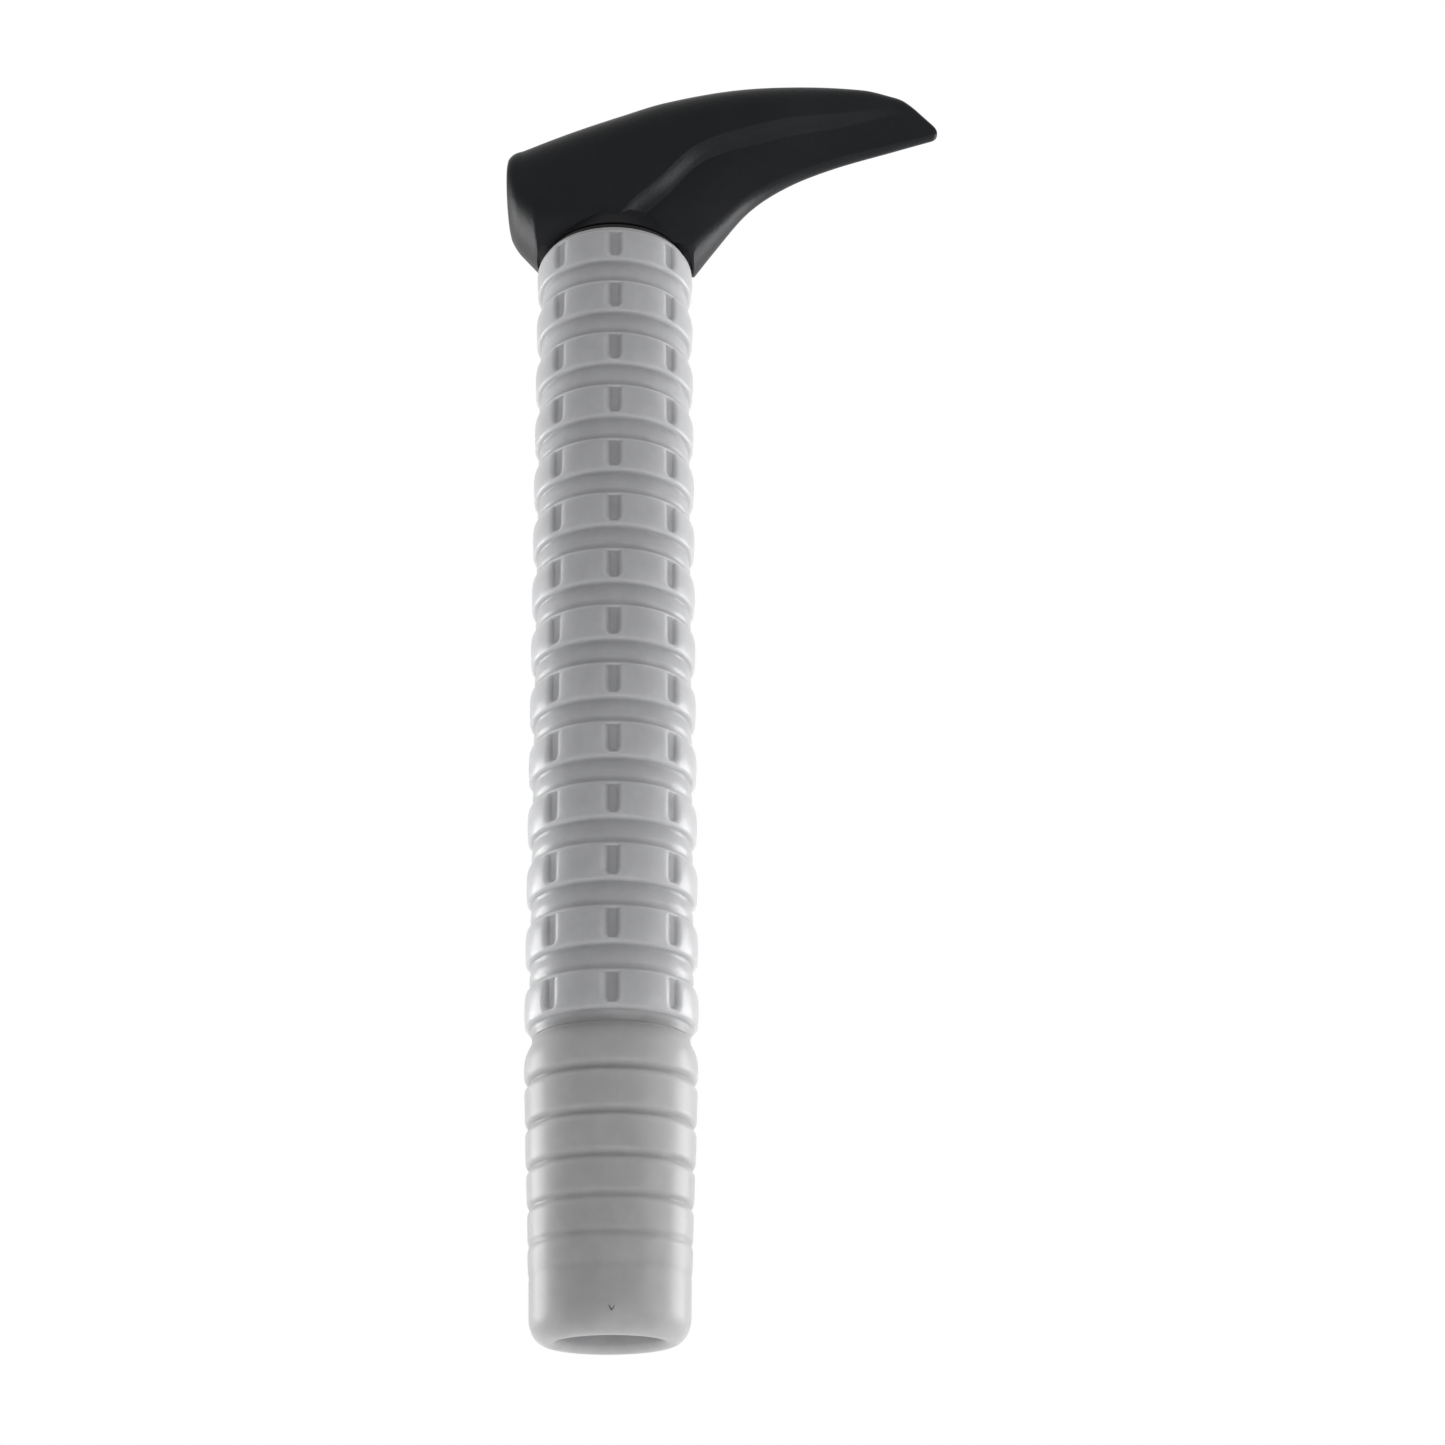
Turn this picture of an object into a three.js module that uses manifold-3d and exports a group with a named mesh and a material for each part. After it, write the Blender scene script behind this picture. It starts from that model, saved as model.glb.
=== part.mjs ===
// A short ice axe. A black one-piece head sits on an aluminium tube, a translucent sleeve with
// rows of pads covers the tube, and a grooved pommel screws onto the tube's lower end.
// Millimetres. Z runs up the handle's axis from the pommel's end face, and the pick points to +X.
import * as THREE from "three";
import { mergeVertices } from "three/addons/utils/BufferGeometryUtils.js";
import Module from "manifold-3d";

const wasm = await Module();
wasm.setup();
const { clamp, degToRad, lerp, smoothstep } = THREE.MathUtils;

// ---------- driving dimensions ----------
const clearance = 0.3; // left between pieces that touch
const sides = 40; // facets round the grip and the pommel
const hiddenSides = 32; // facets round the pieces inside
const pinSides = 20; // facets round a pin
const weldDistance = 1e-3; // points nearer than this are one point

const tube = { outer: 12.5, inner: 11, bottom: 45.7, top: 234.4 };

const grip = {
  padRadius: 16.96,
  edgeRadius: 16.7, // where a pad starts to round over
  bandRadius: 15.96, // the small ridge between two rows of pads
  grooveRadius: 15.75, // the groove on each side of that ridge
  slotRadius: 16.2, // floor of the slots that part one pad from the next
  bottom: 57.7,
  bottomRadius: 15.27,
  top: 232.9,
  topMargin: 0.5, // the rows end this far below the sleeve's top
  rows: 14,
  rowPitch: 12.65,
  firstRow: 59.5, // underside of the lowest row of pads
  padsPerRow: 8,
  slotTurn: 3, // degrees from the front to the nearest slot, towards the pick
  slotHalfAngle: 5, // degrees
  slotEdgeAngle: 2, // degrees that a slot's side wall takes
};

const pommel = {
  top: 57.3,
  flareBottom: 56, // from here the cap narrows to meet the grip
  endRadius: 15.03,
  cornerHeight: 5,
  cornerSteps: 6,
  flatRadius: 11, // outer edge of the flat ring it stands on
  recessRadius: 9.9,
  recessDepth: 12.3,
  throatRadius: 8.6,
  housingBottom: 27.7,
  housingRadius: 12.7,
  housingTop: 41.3,
  cavityRadius: 12.9,
};

const bush = {
  plugRadius: 10.7,
  plugTop: 72,
  flangeRadius: 12.4,
  flangeTop: 45.4,
  flangeBottom: 43.9,
  threadRadius: 10,
  threadRoot: 9.3,
  threadPitch: 3,
  threadFlank: 0.3, // share of the pitch that each flank and the crest take
  threadPlay: 0.4,
  bottom: 29,
  boreRadius: 7.5,
};

const insertBore = bush.threadRadius + bush.threadPlay;
const plug = { disc: 2, rimWidth: 1.5, rimHeight: 3 };
const stopRing = { bottom: 57.9, top: 59.1, inner: 12.3, outer: 14.2, mouthHalfAngle: 35 };
// Where the head sits over the grip's top, and the cone that widens it there.
const seat = { height: 234.7, radius: 17.1, depth: 20, collarRadius: 14.6, collarNeck: 12, collarTop: 240 };
const tang = { radius: 10.7, bottom: 190 };
const tangPins = { radius: 2, heights: [203, 221] };
const bushPin = { radius: 1.5, height: 65 };
const pinLength = 24.4;
const drillLength = 4 * tube.outer; // long enough to pass right through the handle

const head = {
  pollFace: -23.4, // the flat end of the poll
  tip: 72.3,
  endRounding: 2.4, // length over which the poll's and the tip's edges round over
  pollInset: 1.9, // how far the poll's end face lies inside its body
  tipInset: 0.8,
  creaseHalfWidth: 1.4, // half the width of the fillet between spine and web
  keelRounding: 9, // height over which the poll's lower edges round over
  keelReach: 3, // the crease's height above or below the underside over which that rounding fades
  edgeRounding: 0.7, // the same height along the pick, as a share of its edge's half thickness
  stations: 46,
  pointsPerSide: 16,
};

// Side view of the head, as height over X.
const toe = [17.3, 231.3]; // the web's lowest point, beside the grip
const spineTop = curveThrough([
  [-23.4, 259.5],
  [-10, 265.3],
  [1.9, 269.9],
  [11.5, 273.4],
  [26.7, 276.9],
  [41.7, 278.1],
  [55.7, 277.8],
  [61.6, 276.4],
  [65.4, 274.8],
  [72.3, 268],
]);
const pollUnderside = linesThrough([[-23.4, 241.4], [-16.9, 233.7], toe]);
const pickUnderside = curveThrough([
  toe,
  [22.1, 237.8],
  [29.5, 247.1],
  [37.9, 253.3],
  [48.3, 258],
  [62.5, 262.5],
  [72.3, 265.5],
]);
const crease = curveThrough([
  [-2.9, 230.1],
  [4.9, 240.7],
  [11, 247.1],
  [17.6, 254.8],
  [23.2, 258.6],
  [28.5, 260.9],
  [38.4, 264.5],
  [49.6, 267.2],
  [65.1, 271.7],
  [72.4, 272.9],
]);
// Half thicknesses of the head over X: of the spine, of the web under it, and of the web's lower edge.
const spineHalf = curveThrough([
  [-23.4, 11.6],
  [-9, 12.5],
  [6, 12.3],
  [26, 10],
  [41, 7.9],
  [55, 5],
  [65, 3],
  [72.3, 1.8],
]);
const webHalf = curveThrough([
  [-23.4, 8.4],
  [17, 8],
  [28, 6.5],
  [38, 5.3],
  [49, 4.3],
  [65, 2.7],
  [72.3, 1.7],
]);
const lowerEdgeHalf = curveThrough([
  [-23.4, 8],
  [10, 7.2],
  [18, 5.5],
  [26, 3.2],
  [38, 1.9],
  [65, 1.3],
  [72.3, 1.2],
]);

// ---------- curves ----------
function sampler(Interpolant, points) {
  const xs = points.map((point) => point[0]);
  const values = points.map((point) => point[1]);
  const line = new Interpolant(xs, values, 1, new Float32Array(1));
  return (x) => line.evaluate(x)[0];
}

function curveThrough(points) {
  return sampler(THREE.CubicInterpolant, points);
}

function linesThrough(points) {
  return sampler(THREE.LinearInterpolant, points);
}

// ---------- solids ----------
// Turns an outline of [radius, height] points round the Z axis. It starts and ends on the axis.
function spun(outline, facets) {
  const points = outline.map(([radius, height]) => new THREE.Vector2(radius, height));
  return new THREE.LatheGeometry(points, facets).rotateX(Math.PI / 2);
}

// Turns an outline that goes round the wall of a hollow piece and closes on itself.
function turned(outline, facets) {
  return spun([...outline, outline[0]], facets);
}

// A ring or tube with a square section.
function tubeWall(inner, outer, bottom, top, facets) {
  const outline = [
    [inner, top],
    [inner, bottom],
    [outer, bottom],
    [outer, top],
  ];
  return turned(outline, facets);
}

function rod(radius, bottom, top, facets) {
  const cylinder = new THREE.CylinderGeometry(radius, radius, top - bottom, facets);
  return cylinder.rotateX(Math.PI / 2).translate(0, 0, (bottom + top) / 2);
}

// A pin through the handle from front to back.
function crossRod(radius, length, height) {
  return new THREE.CylinderGeometry(radius, radius, length, pinSides).translate(0, 0, height);
}

// Joins rings of equally many points into one closed skin. An endless row of rings closes on
// itself, as a tube's wall does. Any other has a flat end on its first and its last ring.
function skinOver(rings, endless) {
  const count = rings[0].length;
  const corners = rings.flat();
  const triangles = [];
  const spans = endless ? rings.length : rings.length - 1;
  for (let ring = 0; ring < spans; ring++) {
    const near = ring * count;
    const far = ((ring + 1) % rings.length) * count;
    for (let side = 0; side < count; side++) {
      const next = (side + 1) % count;
      triangles.push(near + side, near + next, far + next);
      triangles.push(near + side, far + next, far + side);
    }
  }
  if (!endless) {
    const last = (rings.length - 1) * count;
    for (let side = 1; side < count - 1; side++) {
      triangles.push(0, side + 1, side);
      triangles.push(last, last + side, last + side + 1);
    }
  }
  const skin = new THREE.BufferGeometry().setFromPoints(corners);
  skin.setIndex(triangles);
  return skin;
}

function solidOf(geometry) {
  const bare = geometry.clone();
  bare.deleteAttribute("normal");
  bare.deleteAttribute("uv");
  const merged = mergeVertices(bare, weldDistance);
  const mesh = new wasm.Mesh({
    numProp: 3,
    vertProperties: merged.attributes.position.array,
    triVerts: new Uint32Array(merged.index.array),
  });
  return new wasm.Manifold(mesh);
}

function geometryOf(solid) {
  const mesh = solid.getMesh();
  const geometry = new THREE.BufferGeometry();
  geometry.setAttribute("position", new THREE.BufferAttribute(mesh.vertProperties, 3));
  geometry.setIndex(new THREE.BufferAttribute(mesh.triVerts, 1));
  geometry.computeVertexNormals();
  return geometry;
}

function joined(...geometries) {
  return geometryOf(geometries.map(solidOf).reduce((whole, piece) => whole.add(piece)));
}

function cut(geometry, ...cutters) {
  const whole = solidOf(geometry);
  return geometryOf(cutters.map(solidOf).reduce((rest, cutter) => rest.subtract(cutter), whole));
}

function pinHoles(pins) {
  return pins.heights.map((height) => crossRod(pins.radius + clearance, drillLength, height));
}

// ---------- head ----------
// Half the head's thickness at a point of its side view. The spine stands proud of the web, and
// the section rounds over at its top and bottom edges.
function headHalfThickness(x, z, bottom, top) {
  const slope = crease(x + 0.5) - crease(x - 0.5); // over one millimetre
  const aboveCrease = (z - crease(x)) / Math.hypot(1, slope);
  const spineShare = smoothstep(aboveCrease, -head.creaseHalfWidth, head.creaseHalfWidth);
  const upTheWeb = clamp((z - bottom) / Math.max(crease(x) - bottom, 1), 0, 1);
  const web = lerp(lowerEdgeHalf(x), webHalf(x), upTheWeb);
  const half = lerp(web, spineHalf(x), spineShare);
  const middle = (top - bottom) / 2;
  const crownHeight = Math.min(spineHalf(x), middle);
  const keelShare = smoothstep(bottom - crease(x), -head.keelReach, head.keelReach);
  const keel = lerp(head.edgeRounding * lowerEdgeHalf(x), head.keelRounding, keelShare);
  const keelHeight = Math.min(keel, middle);
  return half * roundOver((top - z) / crownHeight) * roundOver((z - bottom) / keelHeight);
}

// Quarter circle from 0 at the edge to 1 at one rounding height inside it.
function roundOver(depth) {
  const inside = clamp(depth, 0, 1);
  return Math.sqrt(1 - (1 - inside) ** 2);
}

// One section of the head at X, up its back and down its front.
function headSection(x) {
  const fromEnd = Math.min(x - head.pollFace, head.tip - x) / head.endRounding;
  const inset = (1 - roundOver(fromEnd)) * (x < 0 ? head.pollInset : head.tipInset);
  const top = spineTop(x) - inset;
  const bottom = (x < toe[0] ? pollUnderside(x) : pickUnderside(x)) + inset;
  const shrink = 1 - inset / spineHalf(x);
  const back = [];
  for (let step = 0; step <= head.pointsPerSide; step++) {
    const rise = (1 - Math.cos((Math.PI * step) / head.pointsPerSide)) / 2;
    const z = lerp(bottom, top, rise);
    back.push(new THREE.Vector3(x, shrink * headHalfThickness(x, z, bottom, top), z));
  }
  const front = back.slice(1, -1).reverse().map((point) => new THREE.Vector3(point.x, -point.y, point.z));
  return [...back, ...front];
}

function headBlank() {
  const sections = [];
  for (let station = 0; station <= head.stations; station++) {
    const along = (1 - Math.cos((Math.PI * station) / head.stations)) / 2;
    sections.push(headSection(lerp(head.pollFace, head.tip, along)));
  }
  return skinOver(sections, false);
}

// The short cone over the gasket, which widens the head's underside to the handle.
function collarFlare() {
  const outline = [
    [0, seat.height],
    [seat.collarRadius, seat.height],
    [seat.collarNeck, seat.collarTop],
    [0, seat.collarTop],
  ];
  return spun(outline, sides);
}

function headBody() {
  const shank = rod(tang.radius, tang.bottom, seat.collarTop, hiddenSides);
  const seatCutter = rod(seat.radius, seat.height - seat.depth, seat.height, sides);
  const seated = cut(headBlank(), seatCutter);
  return cut(joined(seated, collarFlare(), shank), ...pinHoles(tangPins));
}

function neckGasket() {
  const bottom = grip.top + clearance;
  return tubeWall(tube.outer + clearance, seat.collarRadius, bottom, seat.height - clearance, sides);
}

// ---------- tube ----------
function coreTube() {
  const wall = tubeWall(tube.inner, tube.outer, tube.bottom, tube.top, hiddenSides);
  const groove = tubeWall(
    stopRing.inner - clearance,
    tube.outer + clearance,
    stopRing.bottom - clearance,
    stopRing.top + clearance,
    hiddenSides,
  );
  const bushPinHole = crossRod(bushPin.radius + clearance, drillLength, bushPin.height);
  return cut(wall, groove, bushPinHole, ...pinHoles(tangPins));
}

// A flat snap ring, open at the back.
function sleeveStopRing() {
  const start = degToRad(90 + stopRing.mouthHalfAngle);
  const end = degToRad(450 - stopRing.mouthHalfAngle);
  const outline = new THREE.Shape();
  outline.absarc(0, 0, stopRing.outer, start, end, false);
  outline.absarc(0, 0, stopRing.inner, end, start, true);
  const depth = stopRing.top - stopRing.bottom;
  const settings = { depth, bevelEnabled: false, curveSegments: hiddenSides };
  return new THREE.ExtrudeGeometry(outline, settings).translate(0, 0, stopRing.bottom);
}

// ---------- grip ----------
// Heights above a row's underside, with the radius there and whether the row's slots cut it.
const rowProfile = [
  { rise: 0, radius: grip.grooveRadius, slotted: false },
  { rise: 0.9, radius: grip.edgeRadius, slotted: false },
  { rise: 1.9, radius: grip.padRadius, slotted: true },
  { rise: 4.7, radius: grip.padRadius, slotted: true },
  { rise: 6.9, radius: grip.edgeRadius, slotted: true },
  { rise: 8.1, radius: grip.grooveRadius, slotted: false },
  { rise: 9.7, radius: grip.bandRadius, slotted: false },
];

// Angles round the grip: the two corners of each slot's side walls, and the pad between slots.
function gripAngles() {
  const angles = [];
  const step = 360 / grip.padsPerRow;
  const wall = grip.slotHalfAngle + grip.slotEdgeAngle;
  for (let pad = 0; pad < grip.padsPerRow; pad++) {
    const middle = grip.slotTurn + pad * step;
    angles.push({ angle: middle - wall, inSlot: false });
    angles.push({ angle: middle - grip.slotHalfAngle, inSlot: true });
    angles.push({ angle: middle + grip.slotHalfAngle, inSlot: true });
    angles.push({ angle: middle + wall, inSlot: false });
    angles.push({ angle: middle + step / 2, inSlot: false });
  }
  return angles;
}

function gripRing(radius, height, slotted) {
  return gripAngles().map(({ angle, inSlot }) => {
    const reach = slotted && inSlot ? Math.min(radius, grip.slotRadius) : radius;
    const turn = degToRad(angle);
    return new THREE.Vector3(reach * Math.sin(turn), -reach * Math.cos(turn), height);
  });
}

function gripSleeve() {
  const bore = tube.outer + clearance;
  const counterbore = stopRing.outer + clearance;
  const shoulder = stopRing.top + clearance;
  const rings = [
    gripRing(bore, grip.top, false),
    gripRing(bore, shoulder, false),
    gripRing(counterbore, shoulder, false),
    gripRing(counterbore, grip.bottom, false),
    gripRing(grip.bottomRadius, grip.bottom, false),
  ];
  for (let row = 0; row < grip.rows; row++) {
    for (const { rise, radius, slotted } of rowProfile) {
      const height = grip.firstRow + row * grip.rowPitch + rise;
      if (height < grip.top - grip.topMargin) rings.push(gripRing(radius, height, slotted));
    }
  }
  rings.push(gripRing(grip.bandRadius, grip.top, false));
  return skinOver(rings, true);
}

// ---------- lower end of the handle ----------
// Plain ridges at the thread's pitch, up to the flange.
function threadOutline() {
  const turns = Math.floor((bush.flangeBottom - bush.bottom) / bush.threadPitch);
  const flank = bush.threadFlank * bush.threadPitch;
  const outline = [];
  for (let turn = 0; turn < turns; turn++) {
    const start = bush.bottom + turn * bush.threadPitch;
    outline.push([bush.threadRoot, start]);
    outline.push([bush.threadRadius, start + flank]);
    outline.push([bush.threadRadius, start + 2 * flank]);
    outline.push([bush.threadRoot, start + 3 * flank]);
  }
  return outline;
}

function endBush() {
  const outline = [
    [bush.boreRadius, bush.plugTop],
    [bush.boreRadius, bush.bottom],
    ...threadOutline(),
    [bush.threadRoot, bush.flangeBottom],
    [bush.flangeRadius, bush.flangeBottom],
    [bush.flangeRadius, bush.flangeTop],
    [bush.plugRadius, bush.flangeTop],
    [bush.plugRadius, bush.plugTop],
  ];
  const hole = crossRod(bushPin.radius + clearance, drillLength, bushPin.height);
  return cut(turned(outline, hiddenSides), hole);
}

function pommelSeal() {
  const bottom = pommel.housingTop + clearance;
  const outer = pommel.cavityRadius - clearance;
  return tubeWall(insertBore, outer, bottom, bush.flangeBottom - clearance, hiddenSides);
}

function pommelInsert() {
  const bottom = pommel.housingBottom + clearance;
  const outer = pommel.housingRadius - clearance;
  return tubeWall(insertBore, outer, bottom, pommel.housingTop - clearance, hiddenSides);
}

// A flanged disc pressed up against the shoulder in the pommel's recess.
function endPlug() {
  const edge = pommel.recessRadius - clearance;
  const top = pommel.recessDepth - clearance;
  const outline = [
    [0, top - plug.disc],
    [edge - plug.rimWidth, top - plug.disc],
    [edge - plug.rimWidth, top - plug.rimHeight],
    [edge, top - plug.rimHeight],
    [edge, top],
    [0, top],
  ];
  return spun(outline, hiddenSides);
}

// The pommel's bands, from the lowest up. Each bulges to its radius over the groove under it, and
// they grow towards the grip.
const pommelBands = [
  { groove: 12.1, radius: 15.4, grooveRadius: 15.14 },
  { groove: 17.9, radius: 15.56, grooveRadius: 15.2 },
  { groove: 24.7, radius: 15.86, grooveRadius: 15.2 },
  { groove: 32, radius: 16.2, grooveRadius: 15.38 },
  { groove: 40, radius: 16.48, grooveRadius: 15.45 },
  { groove: 48.5, radius: 16.69, grooveRadius: 15.6 },
];
const grooveReach = 1.7; // height over which a band's edge runs down into a groove
const bandDrop = 0.1; // how far a band falls before that edge

function pommelCap() {
  const outline = [
    [pommel.cavityRadius, pommel.top],
    [pommel.cavityRadius, pommel.housingTop],
    [pommel.housingRadius, pommel.housingTop],
    [pommel.housingRadius, pommel.housingBottom],
    [pommel.throatRadius, pommel.housingBottom],
    [pommel.throatRadius, pommel.recessDepth],
    [pommel.recessRadius, pommel.recessDepth],
    [pommel.recessRadius, 0],
  ];
  const cornerWidth = pommel.endRadius - pommel.flatRadius;
  for (let step = 0; step <= pommel.cornerSteps; step++) {
    const turn = (Math.PI / 2) * (step / pommel.cornerSteps);
    const radius = pommel.flatRadius + cornerWidth * Math.sin(turn);
    outline.push([radius, pommel.cornerHeight * (1 - Math.cos(turn))]);
  }
  for (const [index, band] of pommelBands.entries()) {
    const above = index + 1 < pommelBands.length ? pommelBands[index + 1].groove : pommel.flareBottom;
    outline.push([band.grooveRadius, band.groove]);
    outline.push([band.radius - bandDrop, band.groove + grooveReach]);
    outline.push([band.radius, (band.groove + above) / 2]);
    outline.push([band.radius - bandDrop, above - grooveReach]);
  }
  outline.push([grip.bottomRadius, pommel.top]);
  return turned(outline, sides);
}

// ---------- assembly ----------
const finish = {
  blackSteel: { color: 0x222329, roughness: 0.42, metalness: 0.5 },
  blackRubber: { color: 0x141416, roughness: 0.85, metalness: 0 },
  aluminium: { color: 0xb4b7bb, roughness: 0.4, metalness: 1 },
  steel: { color: 0x9a9da0, roughness: 0.3, metalness: 1 },
  brass: { color: 0xb08d4a, roughness: 0.35, metalness: 1 },
  frosted: { color: 0xc4c6ca, roughness: 0.5, metalness: 0, transparent: true, opacity: 0.75 },
  greyPlastic: { color: 0x6a6c6e, roughness: 0.6, metalness: 0 },
};

const pieces = [
  ["head_body", headBody(), finish.blackSteel],
  ["neck_gasket", neckGasket(), finish.blackRubber],
  ["core_tube", coreTube(), finish.aluminium],
  ["tang_pin_lower", crossRod(tangPins.radius, pinLength, tangPins.heights[0]), finish.steel],
  ["tang_pin_upper", crossRod(tangPins.radius, pinLength, tangPins.heights[1]), finish.steel],
  ["grip_sleeve", gripSleeve(), finish.frosted],
  ["sleeve_stop_ring", sleeveStopRing(), finish.steel],
  ["end_bush", endBush(), finish.aluminium],
  ["bush_pin", crossRod(bushPin.radius, pinLength, bushPin.height), finish.steel],
  ["pommel_cap", pommelCap(), finish.frosted],
  ["pommel_insert", pommelInsert(), finish.brass],
  ["pommel_seal", pommelSeal(), finish.blackRubber],
  ["end_plug", endPlug(), finish.greyPlastic],
];

const iceAxe = new THREE.Group();
for (const [name, geometry, look] of pieces) {
  const piece = new THREE.Mesh(geometry, new THREE.MeshStandardMaterial(look));
  piece.name = name;
  iceAxe.add(piece);
}

export default iceAxe;
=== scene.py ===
# %% [markdown]
# # A short ice axe
# The tool has three outer parts: a black steel head, a translucent grip with rows of pads, and a
# grooved pommel that screws off. Inside them run an aluminium tube and the fittings that hold the
# three together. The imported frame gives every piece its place, in metres, with Z up the handle
# and the pick pointing along +X.

# %% Load the frame
import math

import bmesh
import bpy
from mathutils import Matrix, Vector


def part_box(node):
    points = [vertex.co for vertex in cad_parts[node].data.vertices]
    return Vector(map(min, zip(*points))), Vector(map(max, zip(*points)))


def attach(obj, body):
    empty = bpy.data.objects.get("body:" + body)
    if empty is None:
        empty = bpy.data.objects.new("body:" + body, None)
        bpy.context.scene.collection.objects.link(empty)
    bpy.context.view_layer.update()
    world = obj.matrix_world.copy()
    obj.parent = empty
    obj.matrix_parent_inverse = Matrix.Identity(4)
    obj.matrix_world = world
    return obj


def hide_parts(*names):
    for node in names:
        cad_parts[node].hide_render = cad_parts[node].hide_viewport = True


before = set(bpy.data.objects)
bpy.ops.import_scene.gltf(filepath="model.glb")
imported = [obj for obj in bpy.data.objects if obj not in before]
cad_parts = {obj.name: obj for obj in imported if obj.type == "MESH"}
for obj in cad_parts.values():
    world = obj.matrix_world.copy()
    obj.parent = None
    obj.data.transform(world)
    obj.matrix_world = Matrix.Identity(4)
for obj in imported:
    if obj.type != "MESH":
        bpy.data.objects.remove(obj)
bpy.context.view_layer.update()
MM = 0.001
print("nodes:", ", ".join(sorted(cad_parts)))

# %% [markdown]
# ## Heights that the frame gives
# The grip's top and the head's two ends come from the boxes of the frame's own nodes, so the new
# pieces reach exactly as far as the solids they stand for. Other sizes are given with their piece.

# %% Heights along the handle
GRIP_LOW, GRIP_HIGH = (corner[2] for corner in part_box("grip_sleeve"))
HEAD_LOW, HEAD_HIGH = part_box("head_body")
POLL_FACE, PICK_TIP = HEAD_LOW[0], HEAD_HIGH[0]
print(f"grip {GRIP_LOW / MM:.1f} to {GRIP_HIGH / MM:.1f} mm, head {(PICK_TIP - POLL_FACE) / MM:.1f} mm long")

# %% [markdown]
# ## Camera and light
# The tool is looked at from under its lower end, so the camera stands low and tilts up. A white
# surround lights it softly and more strongly from behind than from the front, which lets the
# grip's edges glow. A gentle key lamp stands at the right, a wide fill and a small bright lamp
# stand below and in front, and two lamps behind the sides light the rims.

# %% Camera
CAMERA_PLACE = Vector((22.27, -472.6, -73.92)) * MM
CAMERA_TILT = math.radians(22.72)
CAMERA_ROLL = math.radians(-0.775)
LENS_MM = 62.83
camera = bpy.data.objects.new("camera", bpy.data.cameras.new("camera"))
camera.data.lens = LENS_MM
camera.data.sensor_width = 36.0
camera.data.clip_start = 0.01
camera.location = CAMERA_PLACE
look_up = Matrix.Rotation(math.pi / 2 + CAMERA_TILT, 3, "X")
camera.rotation_euler = (look_up @ Matrix.Rotation(CAMERA_ROLL, 3, "Z")).to_euler()
bpy.context.collection.objects.link(camera)
bpy.context.scene.camera = camera
bpy.context.scene.view_settings.view_transform = "Standard"
print("camera", [round(value, 4) for value in camera.location], "lens", LENS_MM)


# %% Lamps and surround
def area_lamp(name, place, target, size, watts, colour=(1.0, 1.0, 1.0)):
    lamp = bpy.data.objects.new(name, bpy.data.lights.new(name, "AREA"))
    lamp.data.shape = "DISK"
    lamp.data.size = size
    lamp.data.energy = watts
    lamp.data.color = colour
    lamp.location = place
    lamp.rotation_euler = (Vector(target) - Vector(place)).to_track_quat("-Z", "Y").to_euler()
    bpy.context.collection.objects.link(lamp)
    return lamp


MIDDLE = Vector((0.0, 0.0, GRIP_HIGH / 2))
area_lamp("key", (0.75, -0.42, 0.15), MIDDLE, 0.35, 0.8, (1.0, 0.985, 0.96))
area_lamp("fill_below", (0.25, -0.65, -0.40), MIDDLE, 0.5, 1.0)
area_lamp("glint", (0.12, -0.42, -0.55), MIDDLE, 0.10, 2.2)
area_lamp("rim_left", (-0.8, 0.35, 0.15), MIDDLE, 0.5, 4.0)
area_lamp("rim_right", (0.8, 0.35, 0.15), MIDDLE, 0.5, 4.0)
FRONT_LEVEL = 0.41  # the surround's strength in front of the tool
BACK_LEVEL = 0.9  # and behind it
SHADE_FRONT, SHADE_BACK = -0.2, 0.8  # where, from front to back, the strength begins and ends its change

surround = bpy.data.worlds.new("surround")
surround.use_nodes = True
nodes, links = surround.node_tree.nodes, surround.node_tree.links
direction = nodes.new("ShaderNodeTexCoord")
split = nodes.new("ShaderNodeSeparateXYZ")
level = nodes.new("ShaderNodeMapRange")
level.interpolation_type = "SMOOTHSTEP"
level.inputs["From Min"].default_value = SHADE_FRONT
level.inputs["From Max"].default_value = SHADE_BACK
level.inputs["To Min"].default_value = FRONT_LEVEL
level.inputs["To Max"].default_value = BACK_LEVEL
seen = nodes.new("ShaderNodeLightPath")
strength = nodes.new("ShaderNodeMix")
strength.inputs["B"].default_value = 1.0
links.new(direction.outputs["Generated"], split.inputs[0])
links.new(split.outputs["Y"], level.inputs[0])
links.new(level.outputs[0], strength.inputs["A"])
links.new(seen.outputs["Is Camera Ray"], strength.inputs["Factor"])
links.new(strength.outputs["Result"], nodes["Background"].inputs["Strength"])
nodes["Background"].inputs["Color"].default_value = (1.0, 1.0, 1.0, 1.0)
bpy.context.scene.world = surround
print("lamps:", [lamp.name for lamp in bpy.data.lights])


# %% [markdown]
# ## Shader arithmetic
# A material is easier to read as a formula than as boxes and wires. `Wire` holds one output of a
# node. Adding, multiplying or subtracting wires adds the Math nodes, and `node` adds any other
# kind: its settings are set first, and then its sockets get values or wires.

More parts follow.
